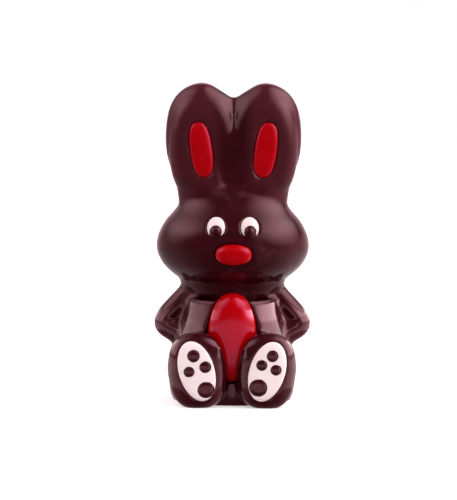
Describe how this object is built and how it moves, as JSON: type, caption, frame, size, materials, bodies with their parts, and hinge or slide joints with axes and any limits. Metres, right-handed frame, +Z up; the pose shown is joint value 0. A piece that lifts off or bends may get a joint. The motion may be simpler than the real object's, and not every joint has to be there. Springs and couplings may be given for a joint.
{
  "type": "chocolate bunny",
  "caption": "Sitting moulded dark chocolate bunny with red ear, nose and belly fields, white eyes and white soles, flat underneath.",
  "frame": {"origin": "centre of the bounding box at the flat base", "axes": "+Z up through the ears, the face and soles towards -Y, the bunny's left ear at +X"},
  "size_m": [0.0771, 0.0706, 0.1591],
  "materials": {
    "dark_chocolate": "glossy tempered dark chocolate",
    "red_chocolate": "glossy red coloured chocolate",
    "white_chocolate": "satin white coloured chocolate"
  },
  "bodies": {
    "root": {"body": "dark_chocolate", "nose": "red_chocolate", "belly": "red_chocolate", "ear_field_left": "red_chocolate", "ear_field_right": "red_chocolate", "eye_white_left": "white_chocolate", "eye_white_right": "white_chocolate", "sole_left": "white_chocolate", "sole_right": "white_chocolate"}
  },
  "joints": []
}
